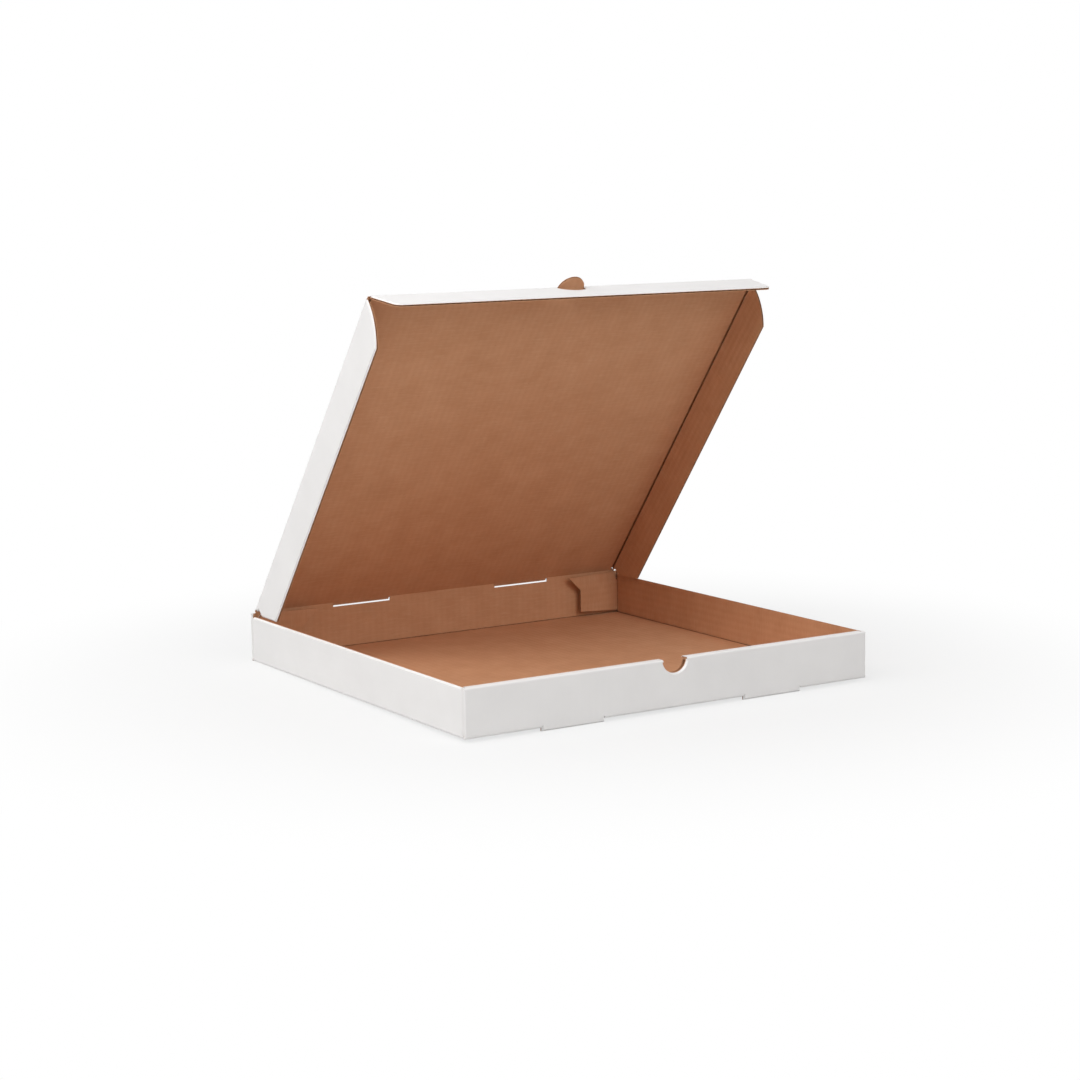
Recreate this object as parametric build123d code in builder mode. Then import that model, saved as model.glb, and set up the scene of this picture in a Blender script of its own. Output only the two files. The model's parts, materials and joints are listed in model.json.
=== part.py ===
from build123d import *
import os
from math import cos, radians, sin, sqrt

# Pizza box: one die-cut corrugated sheet, folded into a shallow tray whose rear wall carries a lid.
# The lid has a tuck flap along its front and a flap along each side.
# Front is -Y, up is +Z, and the origin is the middle of the base's underside. Millimetres and degrees.

# Board and clearances
board = 2.8
crease_gap = 0.3
slip_gap = 0.2
fit_gap = 0.5
fold_radius = 2.2

# Tray
tray_width = 402.0
tray_depth = 390.0
wall_height = 41.0
notch_radius = 12.0
foot_spacing = 200.0
foot_width = 60.0
foot_drop = 2.8
end_flap_length = 55.0
end_flap_foot = 6.0
corner_flap_length = 47.3
corner_flap_tip = 14.5
corner_flap_foot = 5.0
corner_flap_foot_rise = 3.5
corner_flap_shoulder = 30.0
corner_flap_turn = 6.0
corner_flap_rise = 2.8
corner_flap_clip = 7.0
corner_flap_clip_drop = 6.0
roll_radius = 1.6

# Hinge crease between rear wall and lid
hinge_rise = 3.0
hinge_slot_spacing = 175.0
hinge_slot_width = 60.0
hinge_slot_drop = 2.8
hinge_tongue_reach = 3.3

# Lid and flaps as they stand in the half-open box
lid_angle = 51.4
flap_depth = 37.0
side_flap_fold = 88.0
front_flap_fold = 60.0
front_flap_taper = 3.5
front_flap_corner = 7.0
side_flap_set_back = 21.0
side_flap_bulge = 5.0
side_flap_rear_start = 1.5
side_flap_heel = 5.8
side_flap_heel_start = 2.4
side_flap_heel_top = 4.4
side_flap_heel_foot = 13.2
side_flap_rear_slant = 19.0
tab_radius = 13.0

# Tray positions
half_width = tray_width / 2
half_depth = tray_depth / 2
side_inner_x = half_width - board
front_gap = board + 2 * slip_gap
front_depth = 2 * board + front_gap
front_y = -half_depth
front_panel_back_y = front_y + board
front_inner_y = front_y + front_depth
inner_panel_front_y = front_inner_y - board
inner_panel_foot = board + crease_gap
roll_half_width = side_inner_x - 2 * slip_gap
rear_inner_y = half_depth - board
rear_wall_top = wall_height + hinge_rise
side_front_y = front_panel_back_y + slip_gap
side_rear_y = rear_inner_y - slip_gap
side_length = side_rear_y - side_front_y
side_middle_y = (side_rear_y + side_front_y) / 2
corner_fold_x = half_width - board / 2
corner_flap_end = board / 2 + corner_flap_length
corner_flap_top = wall_height + corner_flap_rise

# Lid positions
hinge_y = half_depth - board / 2
hinge_z = rear_wall_top + crease_gap + board / 2
splay_reach = flap_depth * cos(radians(side_flap_fold))
lid_half_width = side_inner_x - fit_gap - splay_reach
lid_reach = hinge_y - front_inner_y - fit_gap
lid_length = sqrt(lid_reach ** 2 - flap_depth ** 2)
panel_half_width = lid_half_width - board - crease_gap
panel_length = lid_length - board - crease_gap
side_crease_x = lid_half_width - board / 2
front_crease = lid_length - board / 2
front_flap_half = lid_half_width - board - fit_gap
side_flap_front = lid_length - board - fit_gap

# Directions: along the lid from hinge to front edge, and out of the lid's outer face
along_lid = Vector(0, -cos(radians(lid_angle)), sin(radians(lid_angle)))
out_of_lid = Vector(0, sin(radians(lid_angle)), cos(radians(lid_angle)))
hinge_point = Vector(0, hinge_y, hinge_z)
lid_plane = Plane(origin=hinge_point, x_dir=(1, 0, 0), z_dir=out_of_lid)

with BuildPart() as tray:
    # Base panel
    with BuildSketch(Plane.XY):
        Rectangle(tray_width, tray_depth)
    extrude(amount=board)

    # Rear wall, a little higher than the others so that the lid lies over them
    with BuildSketch(Plane.XZ.offset(-half_depth)):
        with Locations((0, rear_wall_top / 2)):
            Rectangle(tray_width, rear_wall_top)
    extrude(amount=board)

    # Side walls
    with BuildSketch(Plane.XY):
        with Locations(
            (half_width - board / 2, side_middle_y),
            (board / 2 - half_width, side_middle_y),
        ):
            Rectangle(board, side_length)
    extrude(amount=wall_height)

    # Outer panel of the front wall, rounded over at its top
    with BuildSketch(Plane.YZ):
        with BuildLine():
            Polyline(
                (front_y, wall_height - roll_radius),
                (front_y, 0),
                (front_panel_back_y, 0),
                (front_panel_back_y, wall_height),
                (front_y + roll_radius, wall_height),
            )
            RadiusArc(
                (front_y + roll_radius, wall_height),
                (front_y, wall_height - roll_radius),
                -roll_radius,
            )
        make_face()
    extrude(amount=half_width, both=True)

    # Rolled-over top and inner panel of the front wall
    with BuildSketch(Plane.YZ):
        with BuildLine():
            Polyline(
                (front_panel_back_y, wall_height),
                (front_panel_back_y, wall_height - board),
                (inner_panel_front_y, wall_height - board),
                (inner_panel_front_y, inner_panel_foot),
                (front_inner_y, inner_panel_foot),
                (front_inner_y, wall_height - roll_radius),
            )
            RadiusArc(
                (front_inner_y, wall_height - roll_radius),
                (front_inner_y - roll_radius, wall_height),
                -roll_radius,
            )
            Line((front_inner_y - roll_radius, wall_height), (front_panel_back_y, wall_height))
        make_face()
    extrude(amount=roll_half_width, both=True)

    # Folds between base and walls are rounded on the outside
    base_edges = tray.edges().filter_by(lambda edge: edge.center().Z < 0.001)
    fillet(base_edges, fold_radius)

    # End flaps of the side walls, held inside the front wall
    with BuildSketch(Plane.XZ.offset(-side_front_y)):
        for side in (1, -1):
            with BuildLine():
                Polyline(
                    (side * (half_width - board / 2), end_flap_foot),
                    (side * (half_width - end_flap_length), end_flap_foot + board),
                    (side * (half_width - end_flap_length), wall_height - 3 * board),
                    (side * (half_width - board / 2), wall_height - 2 * board),
                    close=True,
                )
            make_face()
    extrude(amount=-board)

    # Corner flaps of the side walls, sprung a little off the rear wall, with their roots clipped
    turn = radians(corner_flap_turn)
    for side in (1, -1):
        corner_flap_plane = Plane(
            origin=(side * corner_fold_x, side_rear_y, 0),
            x_dir=(-cos(turn), -side * sin(turn), 0),
            z_dir=(-side * sin(turn), cos(turn), 0),
        )
        with BuildSketch(corner_flap_plane):
            with BuildLine():
                Polyline(
                    (0, corner_flap_foot),
                    (side * corner_flap_end, corner_flap_foot + corner_flap_foot_rise),
                    (side * corner_flap_end, corner_flap_shoulder),
                    (side * (corner_flap_end + corner_flap_tip), corner_flap_top),
                    (side * (board / 2 + corner_flap_clip), corner_flap_top),
                    (side * board / 2, wall_height - corner_flap_clip_drop),
                    (0, wall_height - corner_flap_clip_drop),
                    close=True,
                )
            make_face()
        extrude(amount=-board)

    # Folds between side walls and their flaps are rounded on the outside
    wall_edges = tray.edges().filter_by(Axis.Z).filter_by(
        lambda edge: abs(abs(edge.center().X) - half_width) < 0.001
        and side_front_y - 0.001 < edge.center().Y < side_rear_y + 0.001
    )
    fillet(wall_edges, fold_radius)

    # Slots in the base behind the front wall's feet
    with BuildSketch(Plane.XY):
        with Locations(
            (foot_spacing / 2, (front_panel_back_y + front_inner_y + crease_gap) / 2),
            (-foot_spacing / 2, (front_panel_back_y + front_inner_y + crease_gap) / 2),
        ):
            Rectangle(foot_width, front_inner_y + crease_gap - front_panel_back_y)
    extrude(amount=board, mode=Mode.SUBTRACT)

    # Feet that stay in line with the outer front panel below the base
    with BuildSketch(Plane.XY.offset(-foot_drop)):
        with Locations(
            (foot_spacing / 2, front_y + board / 2),
            (-foot_spacing / 2, front_y + board / 2),
        ):
            Rectangle(foot_width, board)
    extrude(amount=foot_drop + board)

    # Lock tongues of the inner panel, let into the slots
    with BuildSketch(Plane.XY):
        with Locations(
            (foot_spacing / 2, front_inner_y - board / 2),
            (-foot_spacing / 2, front_inner_y - board / 2),
        ):
            Rectangle(foot_width - 2 * crease_gap, board)
    extrude(amount=inner_panel_foot)

    # Thumb notch through the front wall
    with BuildSketch(Plane.XZ.offset(half_depth)):
        with Locations((0, wall_height)):
            Circle(notch_radius)
    extrude(amount=-front_depth, mode=Mode.SUBTRACT)

    # Slots in the top of the rear wall for the lid's tongues
    with BuildSketch(Plane.XZ.offset(-half_depth)):
        with Locations(
            (hinge_slot_spacing / 2, rear_wall_top - hinge_slot_drop / 2),
            (-hinge_slot_spacing / 2, rear_wall_top - hinge_slot_drop / 2),
        ):
            Rectangle(hinge_slot_width, hinge_slot_drop)
    extrude(amount=board, mode=Mode.SUBTRACT)

with BuildPart() as lid:
    # Lid panel with its half-round tab in front and its tongues behind the hinge crease
    with BuildSketch(lid_plane):
        with Locations((0, -panel_length / 2)):
            Rectangle(2 * panel_half_width, panel_length)
        with Locations((0, -front_crease)):
            Circle(tab_radius)
        with Locations(
            (hinge_slot_spacing / 2, hinge_tongue_reach / 2),
            (-hinge_slot_spacing / 2, hinge_tongue_reach / 2),
        ):
            Rectangle(hinge_slot_width - 4 * crease_gap, hinge_tongue_reach)
    extrude(amount=board / 2, both=True)

    # Rounded edge that turns on the hinge crease
    with BuildSketch(Plane.YZ):
        with Locations((hinge_y, hinge_z)):
            Circle(board / 2)
    extrude(amount=panel_half_width, both=True)

with BuildPart() as front_flap:
    # Tuck flap, tapered and rounded at its ends and open around the lid's tab
    front_flap_lean = radians(lid_angle - front_flap_fold)
    front_flap_origin = hinge_point + along_lid * front_crease
    front_flap_plane = Plane(
        origin=front_flap_origin,
        x_dir=(1, 0, 0),
        z_dir=(0, sin(front_flap_lean), cos(front_flap_lean)),
    )
    front_end_x = front_flap_half - front_flap_taper
    corner_start = front_flap_corner - flap_depth
    with BuildSketch(front_flap_plane):
        with BuildLine():
            Polyline(
                (-front_end_x, corner_start),
                (-front_flap_half, 0),
                (front_flap_half, 0),
                (front_end_x, corner_start),
            )
            RadiusArc(
                (front_end_x, corner_start),
                (front_end_x - front_flap_corner, -flap_depth),
                front_flap_corner,
            )
            Line(
                (front_end_x - front_flap_corner, -flap_depth),
                (front_flap_corner - front_end_x, -flap_depth),
            )
            RadiusArc(
                (front_flap_corner - front_end_x, -flap_depth),
                (-front_end_x, corner_start),
                front_flap_corner,
            )
        make_face()
    extrude(amount=board / 2, both=True)

    # Rounded edge that turns on the front crease
    with BuildSketch(Plane.YZ):
        with Locations((front_flap_origin.Y, front_flap_origin.Z)):
            Circle(board / 2)
    extrude(amount=front_flap_half, both=True)

    # Half-round opening left by the tab
    with BuildSketch(front_flap_plane):
        Circle(tab_radius + fit_gap)
    extrude(amount=board, both=True, mode=Mode.SUBTRACT)

with BuildPart() as right_flap:
    # Side flap, bowed at its front end and cut back at its rear end to clear corner flap and side wall
    side_fold = radians(side_flap_fold)
    down_flap = Vector(cos(side_fold), 0, 0) - out_of_lid * sin(side_fold)
    right_flap_origin = hinge_point + Vector(side_crease_x, 0, 0)
    right_flap_plane = Plane(
        origin=right_flap_origin,
        x_dir=along_lid,
        z_dir=along_lid.cross(down_flap),
    )
    side_end_middle = side_flap_front - side_flap_set_back / 2 + side_flap_bulge
    side_flap_rear_end = side_flap_heel + side_flap_rear_slant
    with BuildSketch(right_flap_plane):
        with BuildLine():
            Polyline(
                (side_flap_front - side_flap_set_back, flap_depth),
                (side_flap_rear_end, flap_depth),
                (side_flap_heel, side_flap_heel_foot),
                (side_flap_heel, side_flap_heel_top),
                (side_flap_rear_start, side_flap_heel_start),
                (side_flap_rear_start, 0),
                (side_flap_front, 0),
            )
            ThreePointArc(
                (side_flap_front, 0),
                (side_end_middle, flap_depth / 2),
                (side_flap_front - side_flap_set_back, flap_depth),
            )
        make_face()
    extrude(amount=board / 2, both=True)

    # Rounded edge that turns on the side crease
    with BuildSketch(
        Plane(
            origin=right_flap_origin + along_lid * side_flap_rear_start,
            x_dir=(1, 0, 0),
            z_dir=along_lid,
        )
    ):
        Circle(board / 2)
    extrude(amount=side_flap_front - side_flap_rear_start)

with BuildPart() as left_flap:
    # The left flap mirrors the right one
    mirror(right_flap.part, about=Plane.YZ)

tray.part.label = "tray"
lid.part.label = "lid"
front_flap.part.label = "front_flap"
right_flap.part.label = "right_flap"
left_flap.part.label = "left_flap"

os.makedirs("parts", exist_ok=True)
export_step(tray.part, "parts/tray.step")
export_step(lid.part, "parts/lid.step")
export_step(front_flap.part, "parts/front_flap.step")
export_step(right_flap.part, "parts/right_flap.step")
export_step(left_flap.part, "parts/left_flap.step")
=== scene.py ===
import json
import math

import bmesh
import bpy
from bpy.props import FloatProperty, FloatVectorProperty, IntProperty, PointerProperty
from mathutils import Matrix, Vector


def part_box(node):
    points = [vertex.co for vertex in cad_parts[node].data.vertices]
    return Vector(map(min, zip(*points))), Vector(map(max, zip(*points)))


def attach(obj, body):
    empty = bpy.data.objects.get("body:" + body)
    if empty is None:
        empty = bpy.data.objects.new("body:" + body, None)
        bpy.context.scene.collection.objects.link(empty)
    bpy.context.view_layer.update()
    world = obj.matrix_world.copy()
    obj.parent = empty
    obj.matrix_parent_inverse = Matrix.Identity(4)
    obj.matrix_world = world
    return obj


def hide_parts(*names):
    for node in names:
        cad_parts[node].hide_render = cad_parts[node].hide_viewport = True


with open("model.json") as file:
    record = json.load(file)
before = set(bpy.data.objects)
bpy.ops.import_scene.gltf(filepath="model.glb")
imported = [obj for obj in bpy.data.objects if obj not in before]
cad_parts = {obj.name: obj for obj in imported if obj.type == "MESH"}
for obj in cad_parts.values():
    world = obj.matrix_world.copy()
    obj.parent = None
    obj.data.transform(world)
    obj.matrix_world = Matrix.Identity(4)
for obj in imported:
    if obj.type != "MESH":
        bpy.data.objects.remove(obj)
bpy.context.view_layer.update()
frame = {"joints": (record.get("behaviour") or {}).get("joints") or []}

bl_info = {
    "name": "Pizza Box",
    "version": (1, 0, 0),
    "blender": (4, 5, 0),
    "location": "View3D > Sidebar > Pizza Box",
    "description": "Folds a corrugated pizza box around its packed solids",
    "category": "Object",
}

TRAY_LOW, TRAY_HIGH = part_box("tray")
JOINTS = {joint["name"]: joint for joint in frame["joints"]}
HINGE = Vector(JOINTS["lid_hinge"]["pos_m"])
FRONT_CREASE = Vector(JOINTS["front_flap_crease"]["pos_m"])
SIDE_CREASE = Vector(JOINTS["right_flap_crease"]["pos_m"])

X = Vector((1, 0, 0))
Y = Vector((0, 1, 0))
Z = Vector((0, 0, 1))

QUARTER = math.pi / 2

# Slots of every sheet: coated outside, bare inside, and the waved layer between them; the waved layer's
# darker paper also serves as painted shade inside the lid flaps' creases
WHITE, KRAFT, FLUTING_AND_CREASE_SHADE = 0, 1, 2

# Straight steps along the curved outlines, and in one wave of the fluting
NOTCH_STEPS, TAB_STEPS, CORNER_STEPS, BOW_STEPS, WAVE_STEPS = 20, 24, 10, 12, 12

# In metres: points this close are one point, and points this close to a line lie on it
SAME_POINT, ON_LINE = 1e-7, 1e-6

# Least sine of a corner that is mitred, between edges that move alike and between others
EVEN_TURN, UNEVEN_TURN = 0.02, 0.5


def linear(hex_colour):
    """An sRGB hex colour as the linear red, green and blue that shaders work in."""
    parts = [int(hex_colour[i:i + 2], 16) / 255 for i in (0, 2, 4)]
    return [p / 12.92 if p <= 0.04045 else ((p + 0.055) / 1.055) ** 2.4 for p in parts]


def length(name, description, millimetres):
    """A length setting, given in millimetres and kept in metres."""
    return FloatProperty(
        name=name, description=description, default=millimetres / 1000, unit="LENGTH", precision=5
    )


def angle(name, description, degrees):
    """An angle setting, given in degrees and kept in radians."""
    return FloatProperty(
        name=name, description=description, default=math.radians(degrees), subtype="ANGLE"
    )


def colour(name, description, hex_colour):
    """A colour setting, given as sRGB hex."""
    return FloatVectorProperty(
        name=name,
        description=description,
        default=linear(hex_colour),
        subtype="COLOR",
        size=3,
        min=0,
        max=1,
    )


def watts(name, description, power):
    """The power of a lamp, in watts."""
    return FloatProperty(name=name, description=description, default=power, unit="POWER")


class BoardSettings(bpy.types.PropertyGroup):
    """The corrugated board that the box is cut from."""

    thickness: length("Thickness", "Board from outer to inner face", 2.8)
    liner: length("Liner", "Thickness of each facing paper", 0.35)
    paper: length("Fluting paper", "Thickness of the waved paper", 0.3)
    pitch: length("Flute pitch", "From one wave to the next", 6.5)
    white: colour("White liner", "Coated outside", "ECEAE9")
    crush_width: length("Crush width", "Reach of the die's pinch along a cut edge", 1.3)
    wall_crush: length("Wall crush", "How far the die presses the coated liner down on the walls", 1.8)
    flap_crush: length("Flap crush", "How far it presses it down on the lid and its flaps", 1.1)
    white_shade: colour("White shade", "Duller patches of the coating", "E9E7E6")
    kraft: colour("Kraft liner", "Bare inside", "D19D78")
    kraft_dark: colour("Kraft dark", "Denser patches and shives", "BE8861")
    kraft_light: colour("Kraft light", "Loose pale fibres", "DAAD8A")
    # Also painted shade: the darker paper laid inside the lid flaps' creases
    fluting: colour("Fluting", "Waved layer in the cut edges", "77543A")


class TraySettings(bpy.types.PropertyGroup):
    """The tray's folds and cut-outs."""

    wall_height: length("Wall height", "Front and side walls above the base's underside", 41.0)
    fold_radius: length("Fold radius", "Rounding on the outside of a fold", 2.2)
    slip: length("Slip", "Room between layers of the front wall", 0.2)
    groove: length("Crease groove", "Gap of a pressed crease on the inside", 0.45)
    roll_radius: length("Roll radius", "Rounding of the front wall's rolled-over top", 1.6)
    notch_radius: length("Thumb notch", "Radius of the notch in the front wall", 12.0)
    foot_spacing: length("Foot spacing", "Between the middles of the two feet", 200.0)
    foot_width: length("Foot width", "Along the front wall", 60.0)
    slot_spacing: length("Slot spacing", "Between the middles of the hinge slots", 175.0)
    slot_width: length("Slot width", "Along the hinge crease", 60.0)
    slot_drop: length("Slot drop", "Slot bottom below the rear wall's top", 2.8)
    end_flap_length: length("End flap length", "End flap inside the front wall", 55.0)
    end_flap_foot: length("End flap foot", "End flap above the base's underside", 6.0)
    corner_turn: angle("Corner flap turn", "How far it has sprung off the rear wall", 6.0)
    corner_length: length("Corner flap length", "From the side wall's inner face", 47.3)
    corner_tip: length("Corner flap tip", "How far its top runs on past its end", 14.5)
    corner_foot: length("Corner flap foot", "At the fold, above the base's underside", 5.0)
    corner_foot_rise: length("Corner flap foot rise", "From the fold to its end", 3.5)
    corner_shoulder: length("Corner flap shoulder", "Where its tip starts", 30.0)
    corner_rise: length("Corner flap rise", "Its top above the side wall", 2.8)
    corner_clip: length("Corner flap clip", "Clipped corner along its top", 7.0)
    corner_clip_drop: length("Corner flap clip drop", "Clipped corner below the wall's top", 6.0)


class LidSettings(bpy.types.PropertyGroup):
    """The lid and its flaps."""

    opening: angle("Opening", "Lid above the closed position", 51.4)
    front_fold: angle("Front fold", "Tuck flap from the lid's plane", 60.0)
    side_fold: angle("Side fold", "Side flaps from the lid's plane", 88.0)
    flap_depth: length("Flap depth", "From crease to free edge", 37.0)
    taper: length("Taper", "How far the tuck flap's ends run back", 3.5)
    corner: length("Corner", "Rounded corners of the tuck flap", 7.0)
    set_back: length("End set-back", "How far a side flap's front end runs back at its free edge", 21.0)
    bulge: length("End bulge", "Bow of a side flap's front end", 5.0)
    rear_start: length("Rear start", "Side flap from the hinge, at its crease", 1.5)
    heel: length("Heel", "Side flap from the hinge, past the corner flap", 5.8)
    heel_start: length("Heel start", "Where its rear edge leaves the hinge", 2.4)
    heel_top: length("Heel top", "Where the heel starts below the crease", 4.4)
    heel_foot: length("Heel foot", "Where the heel ends below the crease", 13.2)
    rear_slant: length("Rear slant", "Run of the slanted cut past the heel", 19.0)
    tab_radius: length("Tab radius", "Half-round tab at the lid's front edge", 13.0)
    fit: length("Fit", "Room around the tab", 0.5)
    groove: length("Crease groove", "Liners kept clear of a side flap's inner crease", 0.9)
    tongue_reach: length("Tongue reach", "Tongues behind the hinge crease", 3.3)


class StageSettings(bpy.types.PropertyGroup):
    """Camera, floor and light."""

    camera_place: FloatVectorProperty(
        name="Camera", description="Camera place", default=(-1.12126, -1.79791, 0.43596), unit="LENGTH"
    )
    yaw: angle("Yaw", "Camera turned right from looking along +Y", 31.75)
    pitch: angle("Pitch", "Camera tipped down", 8.572)
    roll: angle("Roll", "Camera turned about its own axis", -0.909)
    focal: FloatProperty(name="Focal length", description="In image widths", default=2.23940)
    horizon: FloatProperty(name="Horizon", description="Light from all round", default=0.05)
    zenith: FloatProperty(name="Zenith", description="Light from straight above", default=0.36)
    front_lamp: watts("Front lamp", "Soft lamp in front", 19.0)
    left_lamp: watts("Left lamp", "Soft lamp on the left", 20.0)
    corner_lamp: watts("Corner lamp", "Soft lamp in front on the left", 18.0)
    top_lamp: watts("Top lamp", "Soft lamp overhead", 11.0)
    rear_lamp: watts("Rear lamp", "Soft lamp behind on the left", 9.0)
    lamp_size: length("Lamp size", "Width of each round lamp", 1400.0)
    aim_height: length("Aim height", "Where the lamps point, above the base", 120.0)
    floor: colour("Floor", "Plain pale floor", "DADAD9")
    floor_radius: length("Floor radius", "Round floor under the box", 6000.0)
    fade_start: length("Fade start", "Where the floor starts to turn white, from its middle", 200.0)
    fade_end: length("Fade end", "Where the floor is white, from its middle", 600.0)
    fade_share: FloatProperty(name="Fade share", description="White in the floor's middle", default=0.7)


class BoxSettings(bpy.types.PropertyGroup):
    """All settings of the pizza box."""

    board: PointerProperty(type=BoardSettings)
    tray: PointerProperty(type=TraySettings)
    lid: PointerProperty(type=LidSettings)
    stage: PointerProperty(type=StageSettings)
    arc_steps: IntProperty(name="Arc steps", description="Steps in a rounded fold", default=10, min=3)


def add_node(tree, kind, inputs=None, **settings):
    """Adds a node with its settings, and links or sets its inputs."""
    made = tree.nodes.new(kind)
    for key, value in settings.items():
        setattr(made, key, value)
    for key, value in (inputs or {}).items():
        if isinstance(value, bpy.types.NodeSocket):
            tree.links.new(value, made.inputs[key])
        else:
            made.inputs[key].default_value = value
    return made


def new_material(name):
    """An empty node material and its shader tree."""
    material = bpy.data.materials.new(name)
    material.use_nodes = True
    material.node_tree.nodes.clear()
    return material, material.node_tree


def plain_view(tree):
    """1 where the camera looks, straight or by way of gloss or glass, and 0 for light on the box."""
    path = add_node(tree, "ShaderNodeLightPath").outputs
    seen = path["Is Camera Ray"]
    for ray in ("Is Glossy Ray", "Is Transmission Ray"):
        seen = add_node(tree, "ShaderNodeMath", {0: seen, 1: path[ray]}, operation="MAXIMUM").outputs[0]
    return seen


def flute_ripple(tree, pitch):
    """The map across and along the flutes, and the washboard they press through a liner, 0 to 1."""
    flutes = add_node(tree, "ShaderNodeUVMap", uv_map="flutes").outputs[0]
    across = add_node(tree, "ShaderNodeSeparateXYZ", {0: flutes}).outputs[0]
    turns = add_node(tree, "ShaderNodeMath", {0: across, 1: math.tau / pitch}, operation="MULTIPLY")
    wave = add_node(tree, "ShaderNodeMath", {0: turns.outputs[0]}, operation="SINE")
    share = add_node(
        tree, "ShaderNodeMath", {0: wave.outputs[0], 1: 0.5, 2: 0.5}, operation="MULTIPLY_ADD"
    )
    return flutes, share.outputs[0]


def tinted(tree, ground, layers):
    """A ground colour under tints: each a pattern, its low and high end, its share and its colour."""
    paint = (*ground, 1)
    for pattern, low, high, share, tint in layers:
        tone = add_node(
            tree,
            "ShaderNodeMapRange",
            {"Value": pattern, "From Min": low, "From Max": high, "To Max": share},
        )
        mixed = add_node(
            tree, "ShaderNodeMix", {0: tone.outputs[0], 6: paint, 7: (*tint, 1)}, data_type="RGBA"
        )
        paint = mixed.outputs[2]
    return paint


def paper_surface(tree, paint, roughness, height, strength, depth, specular):
    """Ends a paper's tree: its paint, its roughness and a relief of a depth in metres."""
    bump = add_node(tree, "ShaderNodeBump", {"Height": height, "Strength": strength, "Distance": depth})
    shader = add_node(
        tree,
        "ShaderNodeBsdfPrincipled",
        {
            "Base Color": paint,
            "Roughness": roughness,
            "Normal": bump.outputs[0],
            "IOR": 1.5,
            "Specular IOR Level": specular,
        },
    )
    add_node(tree, "ShaderNodeOutputMaterial", {"Surface": shader.outputs[0]})


def coated_white_liner(board):
    """Bleached, clay-coated test liner: smooth and matt, a little cloudy, with faint flutes."""
    material, tree = new_material("coated_white_liner")
    ripple = flute_ripple(tree, board.pitch)[1]
    spot = add_node(tree, "ShaderNodeTexCoord").outputs["Object"]
    # Coating clouds about 35 mm across
    noise = {"Vector": spot, "Scale": 1 / 0.035, "Detail": 4.0}
    clouds = add_node(tree, "ShaderNodeTexNoise", noise).outputs["Fac"]
    # Paper tooth, really about 0.2 mm, drawn at 0.9 mm so that it shows
    noise = {"Vector": spot, "Scale": 1 / 0.0009, "Detail": 2.0}
    tooth = add_node(tree, "ShaderNodeTexNoise", noise).outputs["Fac"]
    paint = tinted(tree, board.white, [(clouds, 0.35, 0.7, 1.0, board.white_shade)])
    height = add_node(tree, "ShaderNodeMath", {0: ripple, 1: 0.55, 2: tooth}, operation="MULTIPLY_ADD")
    gloss = add_node(tree, "ShaderNodeMapRange", {"Value": clouds, "To Min": 0.5, "To Max": 0.64})
    paper_surface(
        tree, paint, gloss.outputs[0], height.outputs[0], strength=0.5, depth=0.00006, specular=0.35
    )
    return material


def bare_kraft_liner(board):
    """Unbleached kraft paper: dull brown, streaked by fibres across the flutes, with dark shives."""
    material, tree = new_material("bare_kraft_liner")
    flutes, ripple = flute_ripple(tree, board.pitch)
    spot = add_node(tree, "ShaderNodeTexCoord").outputs["Object"]
    # Formation clouds about 28 mm across
    noise = {"Vector": spot, "Scale": 1 / 0.028, "Detail": 5.0, "Roughness": 0.6}
    clouds = add_node(tree, "ShaderNodeTexNoise", noise).outputs["Fac"]
    # Fibre bundles along the paper machine, 16 mm by 1.8 mm, because single fibres are too fine to
    # show, and shives, which are bits of bark about 1.5 mm long
    flecks = []
    for across, along, detail in ((0.016, 0.0018, 3.0), (0.0034, 0.0014, 1.0)):
        scale = (1 / across, 1 / along, 1.0)
        drawn_out = add_node(tree, "ShaderNodeMapping", {"Vector": flutes, "Scale": scale})
        noise = {"Vector": drawn_out.outputs[0], "Scale": 1.0, "Detail": detail}
        flecks.append(add_node(tree, "ShaderNodeTexNoise", noise).outputs["Fac"])
    fibres, shives = flecks
    layers = (
        (clouds, 0.3, 0.75, 0.6, board.kraft_dark),
        (fibres, 0.45, 0.8, 0.4, board.kraft_light),
        (ripple, 0.0, 1.0, 0.13, board.kraft_dark),
        (shives, 0.66, 0.78, 0.6, board.kraft_dark),
    )
    paint = tinted(tree, board.kraft, layers)
    height = add_node(tree, "ShaderNodeMath", {0: ripple, 1: 3.5, 2: fibres}, operation="MULTIPLY_ADD")
    dull = add_node(tree, "ShaderNodeMapRange", {"Value": fibres, "To Min": 0.74, "To Max": 0.92})
    paper_surface(
        tree, paint, dull.outputs[0], height.outputs[0], strength=0.8, depth=0.00003, specular=0.25
    )
    return material


def recycled_fluting(board):
    """Recycled fluting paper, darker than the liners and fuzzy where the die has cut it; it also paints
    the shade inside the lid flaps' creases.
    """
    material, tree = new_material("recycled_fluting")
    spot = add_node(tree, "ShaderNodeTexCoord").outputs["Object"]
    # Torn fibres about 1.2 mm long
    noise = {"Vector": spot, "Scale": 1 / 0.0012, "Detail": 3.0, "Roughness": 0.65}
    fuzz = add_node(tree, "ShaderNodeTexNoise", noise).outputs["Fac"]
    paint = tinted(tree, board.fluting, [(fuzz, 0.0, 1.0, 1.0, board.kraft)])
    paper_surface(tree, paint, roughness=0.9, height=fuzz, strength=0.5, depth=0.0001, specular=0.2)
    return material


def board_materials(board):
    """The board's three papers, made once, in the order of the sheets' slots."""
    makers = (coated_white_liner, bare_kraft_liner, recycled_fluting)
    return [bpy.data.materials.get(make.__name__) or make(board) for make in makers]


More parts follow.
